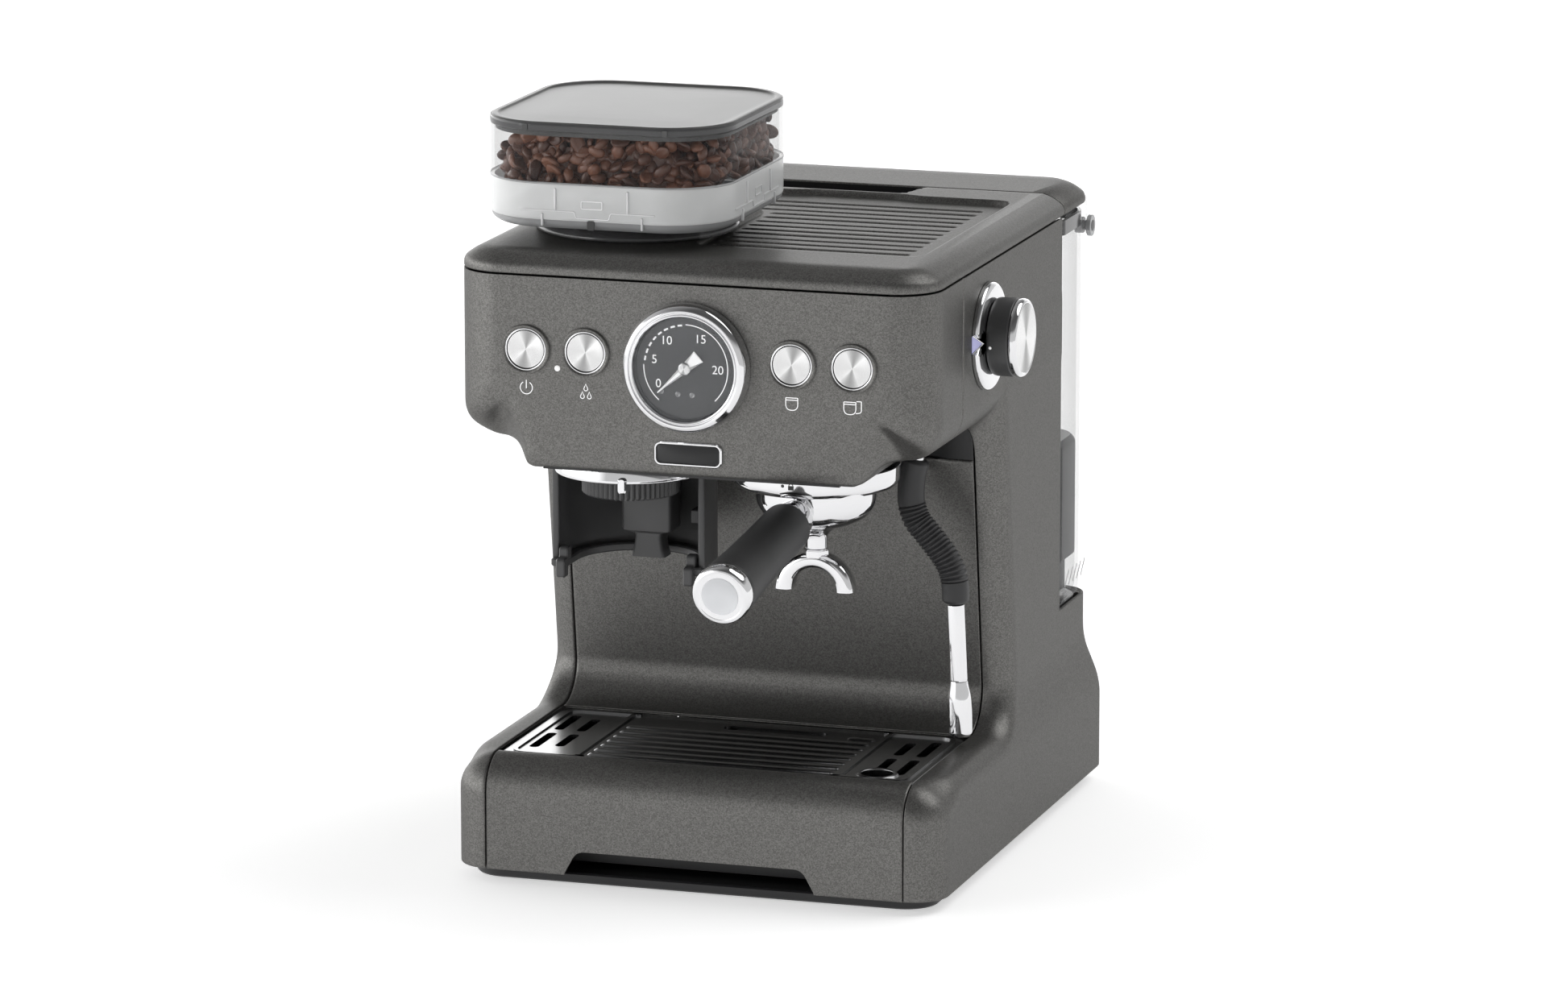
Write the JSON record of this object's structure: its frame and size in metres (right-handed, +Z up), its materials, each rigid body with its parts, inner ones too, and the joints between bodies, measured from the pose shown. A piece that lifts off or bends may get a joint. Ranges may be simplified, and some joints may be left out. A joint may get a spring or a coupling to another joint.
{
  "type": "espresso machine",
  "caption": "Countertop espresso machine with a bean hopper and grinder on the left, locked portafilter, steam wand, pressure gauge, sliding drip tray and rear water tank with a hinged lid.",
  "frame": {"origin": "on the standing surface, under the middle of the base", "axes": "+Z up, -Y to the front where the portafilter handle points, +X to the right-hand side that carries the steam knob"},
  "size_m": [0.3179, 0.4603, 0.45],
  "materials": {
    "grey_paint": "moulded plastic under satin metallic paint with a fine sparkle",
    "chrome": "polished chrome plating",
    "brushed_metal": "radially brushed face",
    "dark_steel": "dark polished stainless steel",
    "dark_plastic": "fine moulded texture",
    "black_plastic": "smooth black moulding",
    "rubber": "soft matt rubber",
    "clear_plastic": "clear moulded plastic",
    "smoked_plastic": "smoked translucent plastic",
    "brass": "cast and machined",
    "circuit_board": "solder mask",
    "white": "white lens or paint"
  },
  "bodies": {
    "machine": {"side_panel_left": "grey_paint", "side_panel_right": "grey_paint", "splash_panel": "grey_paint", "head_fascia": "grey_paint", "head_underside": "black_plastic", "rear_cover": "dark_plastic", "base_pan": "black_plastic", "foot_front_left": "rubber", "foot_front_right": "rubber", "foot_rear_left": "rubber", "foot_rear_right": "rubber", "top_deck": "grey_paint", "hopper_collar": "smoked_plastic", "grinder_housing": "dark_plastic", "upper_burr": "dark_steel", "grinder_motor": "dark_steel", "dosing_ring": "chrome", "dosing_chute": "dark_plastic", "grinder_cradle": "dark_plastic", "group_collar": "chrome", "group_gasket": "rubber", "shower_screen": "dark_steel", "boiler": "brass", "gauge_case": "chrome", "gauge_dial": "black_plastic", "gauge_lens": "clear_plastic", "status_lamp": "white", "front_badge": "chrome", "steam_knob_plate": "chrome", "pump": "dark_steel", "solenoid_valve": "brass", "control_board": "circuit_board"},
    "tray": {"drip_tray": "black_plastic", "tray_front": "grey_paint"},
    "plate": {"drip_plate": "dark_steel"},
    "float": {"tray_float": "dark_plastic"},
    "hopper": {"hopper_body": "clear_plastic"},
    "hopper_cover": {"hopper_lid": "smoked_plastic"},
    "dial": {"grind_dial": "dark_plastic"},
    "burr": {"lower_burr": "dark_steel"},
    "cradle_key": {"cradle_switch": "rubber"},
    "tank": {"water_tank": "clear_plastic", "tank_intake": "dark_plastic"},
    "tank_cover": {"tank_lid": "grey_paint"},
    "valve": {"tank_valve": "rubber"},
    "portafilter": {"portafilter_body": "chrome", "filter_basket": "dark_steel", "portafilter_handle": "rubber", "handle_end_cap": "chrome", "double_spout": "chrome"},
    "needle": {"gauge_needle": "white"},
    "power": {"button_power": "brushed_metal"},
    "rinse": {"button_rinse": "brushed_metal"},
    "one_cup": {"button_one_cup": "brushed_metal"},
    "two_cups": {"button_two_cups": "brushed_metal"},
    "knob": {"steam_knob": "grey_paint", "steam_knob_cap": "brushed_metal"},
    "wand": {"wand_stub": "chrome", "wand_grip": "rubber", "wand_tube": "chrome"}
  },
  "joints": [
    {"name": "tray_pull", "type": "slide", "parent": "machine", "child": "tray", "axis": [0, -1, 0], "range_m": [0, 0.16]},
    {"name": "plate_lift", "type": "slide", "parent": "tray", "child": "plate", "axis": [0, 0, 1], "range_m": [0, 0.006]},
    {"name": "float_rise", "type": "slide", "parent": "tray", "child": "float", "axis": [0, 0, 1], "range_m": [0, 0.008]},
    {"name": "hopper_turn", "type": "hinge", "parent": "machine", "child": "hopper", "pos_m": [-0.0655, -0.075, 0.38], "axis": [0, 0, 1], "range_deg": [0, 30]},
    {"name": "hopper_lid_lift", "type": "slide", "parent": "hopper", "child": "hopper_cover", "axis": [0, 0, 1], "range_m": [0, 0.03]},
    {"name": "dial_turn", "type": "hinge", "parent": "machine", "child": "dial", "pos_m": [-0.058, -0.112, 0.232], "axis": [0, 0, 1], "range_deg": [-60, 60]},
    {"name": "burr_spin", "type": "hinge", "parent": "machine", "child": "burr", "pos_m": [-0.0655, -0.075, 0.29], "axis": [0, 0, 1], "continuous": true},
    {"name": "cradle_key_press", "type": "slide", "parent": "machine", "child": "cradle_key", "axis": [0, 1, 0], "range_m": [0, 0.003], "stiffness_N_per_m": 400, "springref_m": -0.002},
    {"name": "tank_lift", "type": "slide", "parent": "machine", "child": "tank", "axis": [0, 0, 1], "range_m": [0, 0.15]},
    {"name": "tank_lid_swing", "type": "hinge", "parent": "tank", "child": "tank_cover", "pos_m": [0, 0.156, 0.35], "axis": [-1, 0, 0], "range_deg": [0, 75]},
    {"name": "valve_lift", "type": "slide", "parent": "tank", "child": "valve", "axis": [0, 0, 1], "range_m": [0, 0.003], "stiffness_N_per_m": 300, "springref_m": -0.002},
    {"name": "portafilter_turn", "type": "hinge", "parent": "machine", "child": "portafilter", "pos_m": [0.055, -0.11, 0.23], "axis": [0, 0, -1], "range_deg": [0, 45]},
    {"name": "needle_swing", "type": "hinge", "parent": "machine", "child": "needle", "pos_m": [0, -0.187, 0.3167], "axis": [0, 1, 0], "range_deg": [0, 220], "stiffness_Nm_per_rad": 0.0005, "springref_deg": -17.19},
    {"name": "power_press", "type": "slide", "parent": "machine", "child": "power", "axis": [0, 1, 0], "range_m": [0, 0.0018], "stiffness_N_per_m": 800, "springref_m": -0.002},
    {"name": "rinse_press", "type": "slide", "parent": "machine", "child": "rinse", "axis": [0, 1, 0], "range_m": [0, 0.0018], "stiffness_N_per_m": 800, "springref_m": -0.002},
    {"name": "one_cup_press", "type": "slide", "parent": "machine", "child": "one_cup", "axis": [0, 1, 0], "range_m": [0, 0.0018], "stiffness_N_per_m": 800, "springref_m": -0.002},
    {"name": "two_cups_press", "type": "slide", "parent": "machine", "child": "two_cups", "axis": [0, 1, 0], "range_m": [0, 0.0018], "stiffness_N_per_m": 800, "springref_m": -0.002},
    {"name": "knob_turn", "type": "hinge", "parent": "machine", "child": "knob", "pos_m": [0.155, -0.064, 0.322], "axis": [1, 0, 0], "range_deg": [0, 90]},
    {"name": "wand_swing", "type": "hinge", "parent": "machine", "child": "wand", "pos_m": [0.1043, -0.062, 0.262], "axis": [0, 0, 1], "range_deg": [-100, 0]}
  ]
}
